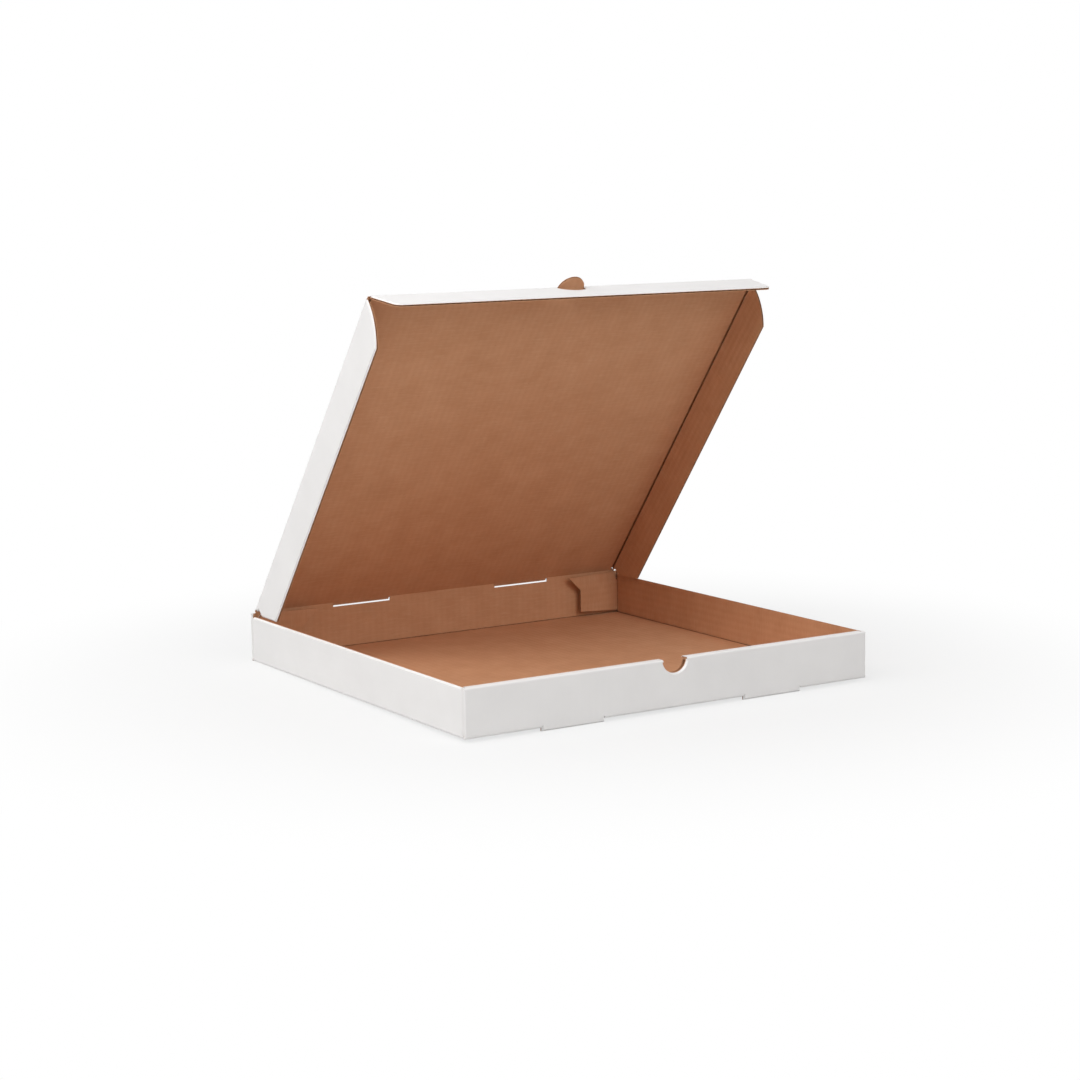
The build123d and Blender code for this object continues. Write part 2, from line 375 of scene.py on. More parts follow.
def fluting_tree():
    """Geometry nodes that press flat strips into waved paper of the board's height."""
    name = "fluted_layer"
    if name in bpy.data.node_groups:
        return bpy.data.node_groups[name]
    tree = bpy.data.node_groups.new(name, "GeometryNodeTree")
    tree.interface.new_socket("Geometry", in_out="INPUT", socket_type="NodeSocketGeometry")
    for label in ("Pitch", "Height", "Paper"):
        tree.interface.new_socket(label, in_out="INPUT", socket_type="NodeSocketFloat")
    tree.interface.new_socket("Material", in_out="INPUT", socket_type="NodeSocketMaterial")
    tree.interface.new_socket("Geometry", in_out="OUTPUT", socket_type="NodeSocketGeometry")
    given = add_node(tree, "NodeGroupInput").outputs
    across = add_node(tree, "GeometryNodeInputNamedAttribute", {"Name": "across"}, data_type="FLOAT")
    lift = add_node(tree, "GeometryNodeInputNamedAttribute", {"Name": "lift"}, data_type="FLOAT_VECTOR")
    turns = add_node(
        tree, "ShaderNodeMath", {0: across.outputs[0], 1: given["Pitch"]}, operation="DIVIDE"
    )
    phase = add_node(tree, "ShaderNodeMath", {0: turns.outputs[0], 1: math.tau}, operation="MULTIPLY")
    wave = add_node(tree, "ShaderNodeMath", {0: phase.outputs[0]}, operation="SINE")
    half = add_node(tree, "ShaderNodeMath", {0: given["Height"], 1: 0.5}, operation="MULTIPLY")
    skin = add_node(tree, "ShaderNodeMath", {0: given["Paper"], 1: -0.5}, operation="MULTIPLY")
    rise = add_node(
        tree,
        "ShaderNodeMath",
        {0: wave.outputs[0], 1: half.outputs[0], 2: skin.outputs[0]},
        operation="MULTIPLY_ADD",
    )
    offset = add_node(
        tree, "ShaderNodeVectorMath", {0: lift.outputs[0], "Scale": rise.outputs[0]}, operation="SCALE"
    )
    pressed = add_node(
        tree, "GeometryNodeSetPosition", {"Geometry": given["Geometry"], "Offset": offset.outputs[0]}
    )
    top = add_node(
        tree,
        "GeometryNodeExtrudeMesh",
        {"Mesh": pressed.outputs[0], "Offset Scale": given["Paper"], "Individual": False},
    )
    under = add_node(tree, "GeometryNodeFlipFaces", {"Mesh": pressed.outputs[0]})
    both = add_node(tree, "GeometryNodeJoinGeometry")
    tree.links.new(top.outputs[0], both.inputs[0])
    tree.links.new(under.outputs[0], both.inputs[0])
    closed = add_node(
        tree, "GeometryNodeMergeByDistance", {"Geometry": both.outputs[0], "Distance": 0.000001}
    )
    real = add_node(tree, "GeometryNodeRealizeInstances", {"Geometry": closed.outputs[0]})
    dressed = add_node(
        tree, "GeometryNodeSetMaterial", {"Geometry": real.outputs[0], "Material": given["Material"]}
    )
    add_node(tree, "NodeGroupOutput", {0: dressed.outputs[0]})
    return tree


def circle_through(start, middle, end, steps):
    """Points of the arc from start through middle to end, in a plane."""
    ax, ay = start
    bx, by = middle
    cx, cy = end
    d = 2 * (ax * (by - cy) + bx * (cy - ay) + cx * (ay - by))
    a2, b2, c2 = ax * ax + ay * ay, bx * bx + by * by, cx * cx + cy * cy
    ox = (a2 * (by - cy) + b2 * (cy - ay) + c2 * (ay - by)) / d
    oy = (a2 * (cx - bx) + b2 * (ax - cx) + c2 * (bx - ax)) / d
    radius = math.hypot(ax - ox, ay - oy)
    first = math.atan2(ay - oy, ax - ox)
    sweep = math.remainder(math.atan2(cy - oy, cx - ox) - first, math.tau)
    return [
        (
            ox + radius * math.cos(first + sweep * i / steps),
            oy + radius * math.sin(first + sweep * i / steps),
        )
        for i in range(steps + 1)
    ]


def half_round(centre, radius, start, sweep, steps):
    """Points on an arc about a centre, in a plane, from start degrees over sweep degrees."""
    turns = [math.radians(start + sweep * i / steps) for i in range(steps + 1)]
    return [(centre[0] + radius * math.cos(t), centre[1] + radius * math.sin(t)) for t in turns]


def off_line(spot, first, second):
    """How far a spot lies off the line through two others, in a plane."""
    run, rise = second[0] - first[0], second[1] - first[1]
    return abs(run * (spot[1] - first[1]) - rise * (spot[0] - first[0])) / math.hypot(run, rise)


def pulled_in(outline, other, crease, width):
    """The outline with its cut edges, those in line with another outline's, moved in by a width."""
    if not width:
        return outline
    edges = list(zip(outline, outline[1:] + outline[:1]))
    others = [pair for pair in zip(other, other[1:] + other[:1]) if math.dist(*pair) > ON_LINE]
    lines = []
    for p, q in edges:
        cut = any(max(off_line(p, *pair), off_line(q, *pair)) < ON_LINE for pair in others)
        folded = crease and max(off_line(p, *crease), off_line(q, *crease)) < ON_LINE
        reach = width if cut and not folded else 0.0
        size = math.dist(p, q)
        inward = ((p[1] - q[1]) / size, (q[0] - p[0]) / size)
        lines.append((inward, inward[0] * p[0] + inward[1] * p[1] + reach, reach))
    moved = []
    for i, spot in enumerate(outline):
        (a, b), c, before = lines[i - 1]
        (d, e), f, after = lines[i]
        turn = a * e - b * d
        if abs(turn) > (EVEN_TURN if before == after else UNEVEN_TURN):
            moved.append(((c * e - b * f) / turn, (a * f - c * d) / turn))
        else:
            way = (a, b) if before > after else (d, e)
            moved.append(tuple(at + part * max(before, after) for at, part in zip(spot, way)))
    return moved


class Sheet:
    """Corrugated board in the making: two liners as thin paper, with the waved layer between them."""

    def __init__(self, box):
        self.board, self.steps = box.board, box.arc_steps
        self.paper = bmesh.new()
        self.uv = self.paper.loops.layers.uv.new("flutes")
        self.wave = bmesh.new()
        self.across = self.wave.verts.layers.float.new("across")
        self.lift = self.wave.verts.layers.float_vector.new("lift")

    def skin(self, verts, slot, flutes, face, smooth=False):
        """One face of paper, with the flutes' direction kept in its map."""
        made = self.paper.faces.new(verts)
        made.material_index = slot
        made.smooth = smooth
        across = flutes.cross(face)
        for loop in made.loops:
            loop[self.uv].uv = (loop.vert.co.dot(across), loop.vert.co.dot(flutes))

    def liner(self, rim, top_edge, place, flutes, face, low, high, drop, slot):
        """Paper over an outline, from low to high above the board's middle plane.

        The rim is the outline as cut, and the top edge is where the die's pinch starts.
        """
        pinched = [math.dist(p, q) > SAME_POINT for p, q in zip(rim, top_edge)]
        falls = [drop if pinch else 0.0 for pinch in pinched]
        upper = [self.paper.verts.new(place(p, high - fall)) for p, fall in zip(rim, falls)]
        lower = [self.paper.verts.new(place(p, low - fall)) for p, fall in zip(rim, falls)]
        upper_in, lower_in = upper[:], lower[:]
        for i, pinch in enumerate(pinched):
            if pinch:
                upper_in[i] = self.paper.verts.new(place(top_edge[i], high))
                lower_in[i] = self.paper.verts.new(place(top_edge[i], low))
        self.skin(upper_in, slot, flutes, face)
        self.skin(lower_in[::-1], KRAFT, flutes, face)
        for i in range(len(rim)):
            j = (i + 1) % len(rim)
            self.skin((lower[i], lower[j], upper[j], upper[i]), KRAFT, flutes, face)
            for corners, paper in (
                ((upper[i], upper[j], upper_in[j], upper_in[i]), slot),
                ((lower[j], lower[i], lower_in[i], lower_in[j]), KRAFT),
            ):
                corners = list(dict.fromkeys(corners))
                if len(corners) > 2:
                    self.skin(corners, paper, flutes, face)

    def fill(self, outline, place, face):
        """Flat strips under the flutes, cut to the outline; they are pressed into waves later."""
        low, high = min(p[0] for p in outline), max(p[0] for p in outline)
        step = self.board.pitch / WAVE_STEPS
        places = {p[0] for p in outline}
        places |= {i * step for i in range(math.ceil(low / step), math.floor(high / step) + 1)}
        places = sorted(places)
        made = {}
        edges = list(zip(outline, outline[1:] + outline[:1]))
        for a, b in zip(places, places[1:]):
            if b - a < SAME_POINT:
                continue
            middle = (a + b) / 2
            crossed = []
            for p, q in edges:
                if (p[0] - middle) * (q[0] - middle) < 0:
                    slope = (q[1] - p[1]) / (q[0] - p[0])
                    crossed.append((p[1] + slope * (a - p[0]), p[1] + slope * (b - p[0])))
            crossed.sort(key=sum)
            for (low_a, low_b), (high_a, high_b) in zip(crossed[::2], crossed[1::2]):
                corners = []
                for u, v in ((a, low_a), (b, low_b), (b, high_b), (a, high_a)):
                    key = (round(u, 7), round(v, 7))
                    if key not in made:
                        vert = self.wave.verts.new(place((u, v), 0.0))
                        vert[self.across] = u
                        vert[self.lift] = face
                        made[key] = vert
                    if made[key] not in corners:
                        corners.append(made[key])
                if len(corners) > 2:
                    self.wave.faces.new(corners)

    def panel(self, outer, face, flutes, inner=None, filled=None, crushed=0.0, crease=None):
        """Flat board: outlines of its coated outside, its bare inside and the layer between.

        Where both liners end on one line the board is cut, unless that line is its crease. There the
        die has crushed the board and pressed the coated liner down.
        """
        across = flutes.cross(face)
        level = outer[0].dot(face)
        half, liner = self.board.thickness / 2, self.board.liner
        pinch = self.board.crush_width if crushed else 0.0

        def place(spot, rise):
            return across * spot[0] + flutes * spot[1] + face * (level + rise)

        def flat(points):
            spots = [(p.dot(across), p.dot(flutes)) for p in points]
            area = sum(p[0] * q[1] - q[0] * p[1] for p, q in zip(spots, spots[1:] + spots[:1]))
            return spots if area > 0 else spots[::-1]

        outside, inside = flat(outer), flat(inner or outer)
        middle = flat(filled or inner or outer)
        folds = flat([crease[0], crease[0] + crease[1]]) if crease else None
        rim = pulled_in(outside, inside, folds, pinch)
        self.liner(outside, rim, place, flutes, face, half - liner, half, crushed, WHITE)
        self.liner(inside, inside, place, flutes, face, -half, liner - half, 0.0, KRAFT)
        self.fill(pulled_in(middle, outside, folds, pinch), place, face)

    def strip(self, rows, flutes, slot):
        """Bent paper between rows, each an outer and an inner point at both of the strip's ends."""
        grid = [[self.paper.verts.new(p) for p in row] for row in rows]
        for first, second in zip(grid, grid[1:]):
            a, b, c, d = first
            e, f, g, h = second
            face = (b.co - a.co).cross(e.co - a.co).normalized()
            self.skin((a, b, f, e), slot, flutes, face, smooth=True)
            self.skin((c, g, h, d), KRAFT, flutes, face, smooth=True)
            self.skin((a, e, g, c), slot, flutes, face)
            self.skin((b, d, h, f), slot, flutes, face)
        a, b, c, d = grid[0]
        self.skin((a, c, d, b), slot, flutes, face)
        a, b, c, d = grid[-1]
        self.skin((a, b, d, c), slot, flutes, face)

    def fold(self, start, end, first, sweep, radius, flutes, slot=WHITE, core=False):
        """A rounded fold about the line from start to end, from a first direction over a sweep.

        With a core the pressed board inside the fold closes its ends.
        """
        line = (end - start).normalized()
        within = radius - self.board.liner
        turns = [sweep * i / self.steps for i in range(self.steps + 1)]
        ways = [Matrix.Rotation(turn, 3, line) @ first for turn in turns]
        ends = (start, end) if sweep < 0 else (end, start)
        rows = [[spot + way * reach for reach in (radius, within) for spot in ends] for way in ways]
        self.strip(rows, flutes, slot)
        if core:
            near, far = ([spot] + [spot + way * within for way in ways] for spot in ends)
            self.prism(near, far, slot, slot)

    def root(self, start, end, face, down, sweep, flutes, inside_paper_or_shade):
        """The half-round root that turns in a crease: coated outside, and towards the inside the slot
        given, which on the lid's flaps is the darker fluting paper as painted crease shade.
        """
        for first, slot in ((-face, inside_paper_or_shade), (-down, WHITE)):
            self.fold(start, end, first, sweep, self.board.thickness / 2, flutes, slot)

    def prism(self, first, second, first_cap, second_cap):
        """A bar of crushed board between two outlines, each end in a slot of its own."""
        near = [self.paper.verts.new(p) for p in first]
        far = [self.paper.verts.new(p) for p in second]
        self.skin(near, first_cap, X, Z)
        self.skin(far[::-1], second_cap, X, Z)
        for i in range(len(near)):
            self.skin((near[i - 1], far[i - 1], far[i], near[i]), FLUTING_AND_CREASE_SHADE, X, Z)

    def pressed(self, fluting):
        """The flat strips, pressed into waves by the geometry nodes, as a plain mesh."""
        board = self.board
        flat = bpy.data.meshes.new("flat_strips")
        self.wave.to_mesh(flat)
        self.wave.free()
        holder = bpy.data.objects.new("flat_strips", flat)
        bpy.context.scene.collection.objects.link(holder)
        modifier = holder.modifiers.new("fluting", "NODES")
        modifier.node_group = fluting_tree()
        inputs = {
            "Pitch": board.pitch,
            "Height": board.thickness - 2 * board.liner - board.paper,
            "Paper": board.paper,
            "Material": fluting,
        }
        for item in modifier.node_group.interface.items_tree:
            if item.in_out == "INPUT" and item.name in inputs:
                modifier[item.identifier] = inputs[item.name]
        bpy.context.view_layer.update()
        made = holder.evaluated_get(bpy.context.evaluated_depsgraph_get())
        waves = bpy.data.meshes.new_from_object(made)
        bpy.data.objects.remove(holder)
        bpy.data.meshes.remove(flat)
        return waves

    def finish(self, node):
        """Joins the papers to the pressed flutes and puts the sheet in a node's place."""
        papers = board_materials(self.board)
        bmesh.ops.recalc_face_normals(self.paper, faces=self.paper.faces[:])
        rims = [edge for edge in self.paper.edges if len({face.smooth for face in edge.link_faces}) > 1]
        bmesh.ops.split_edges(self.paper, edges=rims)
        waves = self.pressed(papers[FLUTING_AND_CREASE_SHADE])
        before = len(self.paper.faces)
        self.paper.from_mesh(waves)
        bpy.data.meshes.remove(waves)
        self.paper.faces.ensure_lookup_table()
        for face in self.paper.faces[before:]:
            face.material_index = FLUTING_AND_CREASE_SHADE
        mesh = bpy.data.meshes.new(node + "_sheet")
        self.paper.to_mesh(mesh)
        self.paper.free()
        for extra in ("across", "lift"):
            if extra in mesh.attributes:
                mesh.attributes.remove(mesh.attributes[extra])
        for paper in papers:
            mesh.materials.append(paper)
        made = bpy.data.objects.new(node + "_sheet", mesh)
        bpy.context.scene.collection.objects.link(made)
        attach(made, node)
        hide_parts(node)


class Measures:
    """Places on the box that several panels share, from the frame and the settings."""

    def __init__(self, box):
        board, tray, lid = box.board, box.tray, box.lid
        t = board.thickness
        self.half_width = TRAY_HIGH.x
        self.half_depth = TRAY_HIGH.y
        self.wall_top = tray.wall_height
        self.rear_top = TRAY_HIGH.z
        self.foot_drop = -TRAY_LOW.z
        self.feet = (-tray.foot_spacing / 2, tray.foot_spacing / 2)
        self.slots = (-tray.slot_spacing / 2, tray.slot_spacing / 2)
        self.side_inner = self.half_width - t
        self.front_y = -self.half_depth
        self.front_back_y = self.front_y + t
        self.inner_front_y = self.front_back_y + t + 2 * tray.slip
        self.inner_back_y = self.inner_front_y + t
        self.rear_inner_y = self.half_depth - t
        self.side_front_y = self.front_back_y + tray.slip
        self.side_rear_y = self.rear_inner_y - tray.slip
        self.gap = HINGE.z - t / 2 - self.rear_top
        self.roll_half = self.side_inner - 2 * tray.slip
        self.crease_x = SIDE_CREASE.x
        self.panel_half = self.crease_x - t / 2 - self.gap
        self.along = Vector((0, -math.cos(lid.opening), math.sin(lid.opening)))
        self.out = Vector((0, math.sin(lid.opening), math.cos(lid.opening)))
        self.front_crease = (FRONT_CREASE - HINGE).length
        self.panel_end = self.front_crease - t / 2 - self.gap
        self.strip_half = self.crease_x + t / 2
        self.front_flap_half = self.panel_half + self.gap - lid.fit
        self.side_flap_front = self.panel_end + self.gap - lid.fit

    def on_lid(self, across, up):
        """A point of the lid's middle plane, across the box and up from the hinge crease."""
        return HINGE + X * across + self.along * up


def spans(half, middles, width):
    """The stretches of a line from -half to half that holes of a width leave."""
    starts = [-half] + [middle + width / 2 for middle in middles]
    ends = [middle - width / 2 for middle in middles] + [half]
    return list(zip(starts, ends))


def stepped(middles, width, level, depth):
    """Points along a level line, with a square step of a width to a depth at each middle."""
    points = []
    for middle in middles:
        left, right = middle - width / 2, middle + width / 2
        points += [(left, level), (left, depth), (right, depth), (right, level)]
    return points


class PIZZABOX_OT_tray(bpy.types.Operator):
    """Folds the base, the four walls and the corner flaps"""

    bl_idname = "pizzabox.tray"
    bl_label = "Tray"

    def execute(self, context):
        box = context.scene.pizza_box
        sheet = Sheet(box)
        for fold_up in (self.base, self.side_walls, self.rear_wall, self.front_wall):
            fold_up(sheet, box.board, box.tray, Measures(box))
        sheet.finish("tray")
        return {"FINISHED"}

    def base(self, sheet, board, tray, m):
        """Base panel, open behind the feet, with rounded folds to all walls."""
        t, r = board.thickness, tray.fold_radius
        level = Z * (t / 2)
        slot_back = m.inner_back_y + m.gap

        def outline(inset):
            x, y = m.half_width - inset, m.half_depth - inset
            slots = stepped(m.feet, tray.foot_width, -y, slot_back)
            points = [(-x, y), (-x, -y), *slots, (x, -y), (x, y)]
            return [X * a + Y * b + level for a, b in points]

        sheet.panel(outline(r), -Z, Y, inner=outline(t + tray.groove))
        x, y = m.half_width - r, m.half_depth - r
        lines = [((side * x, -y), (side * x, y), -side) for side in (-1, 1)]
        lines += [((-m.half_width, y), (m.half_width, y), 1)]
        front = spans(m.half_width, m.feet, tray.foot_width)
        lines += [((left, -y), (right, -y), -1) for left, right in front]
        for start, end, turn in lines:
            sheet.fold(Vector((*start, r)), Vector((*end, r)), -Z, turn * QUARTER, r, Y, core=True)

    def side_walls(self, sheet, board, tray, m):
        """Side walls, each with an end flap in the front wall and a corner flap by the rear wall."""
        t, r, groove = board.thickness, tray.fold_radius, tray.groove
        for side in (-1, 1):
            face = X * side
            middle = face * (m.half_width - t / 2)

            def wall(foot, front, rear):
                corners = [(front, foot), (rear, foot), (rear, m.wall_top), (front, m.wall_top)]
                return [middle + Y * y + Z * z for y, z in corners]

            sheet.panel(
                wall(r, m.side_front_y + r, m.side_rear_y - r),
                face,
                Y,
                inner=wall(t + groove, m.side_front_y + t, m.side_rear_y - t - groove),
                crushed=board.wall_crush,
            )
            rear = Vector((side * (m.half_width - r), m.side_rear_y - r, 0))
            bend = side * (QUARTER + tray.corner_turn)
            sheet.fold(rear + Z * r, rear + Z * m.rear_top, face, bend, r, X, core=True)
            front = Vector((side * (m.half_width - r), m.side_front_y + r, 0))
            bend = -side * QUARTER
            sheet.fold(front + Z * r, front + Z * m.wall_top, face, bend, r, X, core=True)

            # The corner flap turns about its fold, off the rear wall
            inward = Vector((-side * math.cos(tray.corner_turn), -math.sin(tray.corner_turn), 0))
            backward = Vector((-side * math.sin(tray.corner_turn), math.cos(tray.corner_turn), 0))
            fold_line = Vector((side * (m.half_width - t / 2), m.side_rear_y, 0)) - backward * (t / 2)
            flap_end, flap_top = t / 2 + tray.corner_length, m.wall_top + tray.corner_rise

            def corner_flap(root):
                points = [
                    (root, tray.corner_foot),
                    (flap_end, tray.corner_foot + tray.corner_foot_rise),
                    (flap_end, tray.corner_shoulder),
                    (flap_end + tray.corner_tip, flap_top),
                    (t / 2 + tray.corner_clip, flap_top),
                    (root, m.wall_top - tray.corner_clip_drop),
                ]
                return [fold_line + inward * d + Z * z for d, z in points]

            sheet.panel(
                corner_flap(r - t / 2), backward, inward, inner=corner_flap(t / 2 + groove),
                crushed=board.flap_crush,
            )

            def end_flap(root):
                end_x = m.half_width - tray.end_flap_length
                points = [
                    (root, tray.end_flap_foot),
                    (end_x, tray.end_flap_foot + t),
                    (end_x, m.wall_top - 3 * t),
                    (root, m.wall_top - 2 * t),
                ]
                return [Vector((side * x, m.side_front_y + t / 2, z)) for x, z in points]

            sheet.panel(end_flap(m.half_width - r), -Y, X, inner=end_flap(m.side_inner))

    def rear_wall(self, sheet, board, tray, m):
        """Rear wall, slotted along its top; its liners run on to the hinge crease."""
        t, r = board.thickness, tray.fold_radius
        slot_foot = m.rear_top - tray.slot_drop
        middle = Y * (m.half_depth - t / 2)

        def outline(foot, half, top):
            points = [(-half, foot), (half, foot), (half, m.rear_top)]
            if top > m.rear_top:
                points += [(m.strip_half, m.rear_top)]
            for left, right in reversed(spans(m.strip_half, m.slots, tray.slot_width)):
                points += [(right, top), (left, top), (left, slot_foot)]
                points += [(left - tray.slot_width, slot_foot)]
            points[-2:] = [(-m.strip_half, m.rear_top)] if top > m.rear_top else []
            points += [(-half, m.rear_top)]
            return [middle + X * x + Z * z for x, z in points]

        sheet.panel(
            outline(r, m.half_width - t / 2, HINGE.z),
            Y,
            Z,
            inner=outline(t + tray.groove, m.half_width - t / 2 - board.liner / 2, HINGE.z),
            filled=outline(t, m.half_width - t, m.rear_top),
            crushed=board.wall_crush,
            crease=(HINGE, X),
        )
        # The die has pressed the coated liner round the wall's ends
        for side in (-1, 1):
            end = Vector((side * (m.half_width - t / 2), m.half_depth - t / 2, 0))
            sheet.fold(end + Z * r, end + Z * m.rear_top, Y, -side * math.pi, t / 2, Z, core=True)

    def front_wall(self, sheet, board, tray, m):
        """Front wall rolled over a double crease, with the thumb notch and the feet."""
        t, r = board.thickness, tray.fold_radius
        bend = tray.roll_radius
        crown = m.wall_top - bend
        notch_edge = math.degrees(math.asin(bend / tray.notch_radius))
        notch_sweep = 2 * notch_edge - 180
        notch = half_round((0, m.wall_top), tray.notch_radius, -notch_edge, notch_sweep, NOTCH_STEPS)

        def outline(y, half, foot, low, width=tray.foot_width):
            feet = stepped(m.feet, width, foot, low)
            points = [(-half, foot), *feet, (half, foot), (half, crown), *notch, (-half, crown)]
            return [Vector((x, y, z)) for x, z in points]

        outer_y, inner_y = m.front_y + t / 2, m.inner_back_y - t / 2
        sheet.panel(
            outline(outer_y, m.half_width - t / 2, r, -m.foot_drop),
            -Y,
            Z,
            inner=outline(outer_y, m.half_width - t / 2 - board.liner / 2, t, -m.foot_drop),
            crushed=board.wall_crush,
            crease=(Vector((0, outer_y, crown)), X),
        )
        lock = tray.foot_width - 2 * m.gap
        sheet.panel(
            outline(inner_y, m.roll_half, t + m.gap, 0, lock),
            Y,
            Z,
            crushed=board.wall_crush,
            crease=(Vector((0, inner_y, crown)), X),
        )
        # The die has pressed the coated liner round the outer panel's ends
        for side in (-1, 1):
            end = Vector((side * (m.half_width - t / 2), outer_y, 0))
            sheet.fold(end + Z * r, end + Z * crown, -Y, side * math.pi, t / 2, Z, core=True)

        def notch_half(z):
            return math.sqrt(tray.notch_radius ** 2 - (m.wall_top - z) ** 2)

        def roll(half, profile):
            """Bent paper along the roll, from the notch out to both ends."""
            for side in (-1, 1):
                rows = []
                for high, low in profile:
                    near, far = X * side * notch_half(high[1]), X * side * half
                    ends = (near, far) if side > 0 else (far, near)
                    rows.append([Vector((0, y, z)) + end for y, z in (high, low) for end in ends])
                sheet.strip(rows, Y, WHITE)

        def arc(centre_y, start, reach):
            return half_round((centre_y, crown), reach, start, -90, sheet.steps)

        liner = board.liner
        front, rear = m.front_y + bend, m.inner_back_y - bend
        rise = list(zip(arc(front, 180, bend), arc(front, 180, bend - liner)))
        fall = list(zip(arc(rear, 90, bend), arc(rear, 90, bend - liner)))
        over = [((m.front_back_y, m.wall_top), (m.front_back_y, m.wall_top - liner))]
        roll(m.half_width, rise + over)
        roll(m.roll_half, over + fall)
        # The crushed inside of the roll, seen where the notch cuts it
        top, foot = m.wall_top - liner, m.wall_top - t
        near = [low for _, low in rise] + [(m.front_back_y, top), (m.front_back_y, crown)]
        far = [(m.front_back_y, foot), (m.front_back_y, top)] + [low for _, low in fall]
        far += [(m.inner_front_y, crown), (m.inner_front_y, foot)]
        for half, outline, cap in ((m.half_width, near, WHITE), (m.roll_half, far, FLUTING_AND_CREASE_SHADE)):
            for side in (-1, 1):
                inner = [Vector((side * notch_half(z), y, z)) for y, z in outline]
                outer = [Vector((side * (half - liner), y, z)) for y, z in outline]
                sheet.prism(inner, outer, FLUTING_AND_CREASE_SHADE, cap)


class PIZZABOX_OT_lid(bpy.types.Operator):
    """Cuts the lid panel with its tab and its tongues"""

    bl_idname = "pizzabox.lid"
    bl_label = "Lid"

    def execute(self, context):
        box = context.scene.pizza_box
        tray, lid, m = box.tray, box.lid, Measures(box)
        sheet = Sheet(box)
        tongue = tray.slot_width - 4 * m.gap

        def outline(half, end):
            tongues = stepped(m.slots, tongue, 0, -lid.tongue_reach)
            tab = half_round((0, m.front_crease), lid.tab_radius, 0, 180, TAB_STEPS)
            if end < m.front_crease:
                root = math.sqrt(lid.tab_radius ** 2 - (m.front_crease - end) ** 2)
                tab = [(root, end), *tab, (-root, end)]
            points = [(-half, 0), *tongues, (half, 0), (half, end), *tab, (-half, end)]
            return [m.on_lid(x, s) for x, s in points]

        sheet.panel(
            outline(m.crease_x, m.front_crease),
            m.out,
            m.along,
            inner=outline(m.panel_half - lid.groove, m.panel_end),
            crushed=box.board.flap_crush,
            crease=(HINGE, X),
        )
        for span in spans(m.strip_half, m.slots, tongue):
            start, end = (m.on_lid(x, 0) for x in span)
            sheet.root(start, end, m.out, m.along, QUARTER, m.along, KRAFT)
        sheet.finish("lid")
        return {"FINISHED"}


class PIZZABOX_OT_flaps(bpy.types.Operator):
    """Cuts the tuck flap and the two side flaps of the lid"""

    bl_idname = "pizzabox.flaps"
    bl_label = "Lid flaps"

    def execute(self, context):
        box = context.scene.pizza_box
        self.front(box, Measures(box))
        for side, node in ((-1, "left_flap"), (1, "right_flap")):
            self.side(box, Measures(box), side, node)
        return {"FINISHED"}

    def front(self, box, m):
        """Tuck flap, tapered and rounded at its ends, open around the lid's tab."""
        board, lid = box.board, box.lid
        sheet = Sheet(box)
        lean = lid.opening - lid.front_fold
        down = Vector((0, -math.cos(lean), math.sin(lean)))
        face = Vector((0, math.sin(lean), math.cos(lean)))
        half, depth = m.front_flap_half, lid.flap_depth
        corner_middle = (half - lid.taper - lid.corner, depth - lid.corner)
        corner = half_round(corner_middle, lid.corner, 0, 90, CORNER_STEPS)
        end = [(half, 0.0), *corner]
        opening = half_round((0, 0), lid.tab_radius + lid.fit, 180, -180, TAB_STEPS)
        points = [(-x, d) for x, d in reversed(end)] + opening + end
        sheet.panel(
            [FRONT_CREASE + X * x + down * d for x, d in points], face, down, crushed=board.flap_crush,
            crease=(FRONT_CREASE, X),
        )
        for side in (-1, 1):
            ends = sorted((side * half, side * (lid.tab_radius + lid.fit)))
            start, end = (FRONT_CREASE + X * x for x in ends)
            # The crease's inside takes the darker fluting paper: painted shade in the crease
            sheet.root(start, end, face, down, QUARTER, down, FLUTING_AND_CREASE_SHADE)
        sheet.finish("front_flap")

    def side(self, box, m, side, node):
        """Side flap, bowed in front and cut on a slant behind."""
        board, lid = box.board, box.lid
        sheet = Sheet(box)
        outward = X * side
        down = outward * math.cos(lid.side_fold) - m.out * math.sin(lid.side_fold)
        face = outward * math.sin(lid.side_fold) + m.out * math.cos(lid.side_fold)
        front, rear, depth = m.side_flap_front, lid.rear_start, lid.flap_depth
        bow_middle = (front - lid.set_back / 2 + lid.bulge, depth / 2)
        bow = circle_through((front, 0), bow_middle, (front - lid.set_back, depth), BOW_STEPS)
        heel = [(lid.heel + lid.rear_slant, depth), (lid.heel, lid.heel_foot), (lid.heel, lid.heel_top)]
        crease = HINGE + outward * m.crease_x

        def outline(root):
            start = front + (bow[1][0] - front) * root / bow[1][1]
            points = [(start, root), *bow[1:], *heel, (rear, lid.heel_start), (rear, root)]
            return [crease + m.along * s + down * d for s, d in points]

        sheet.panel(
            outline(0), face, m.along, inner=outline(board.thickness / 2 + lid.groove),
            crushed=board.flap_crush, crease=(crease, m.along),
        )
        # The pressed crease's inside is the darker fluting paper, as painted shade in the crease
        start, end = crease + m.along * rear, crease + m.along * front
        sheet.root(start, end, face, down, -side * QUARTER, m.along, FLUTING_AND_CREASE_SHADE)
        sheet.finish(node)


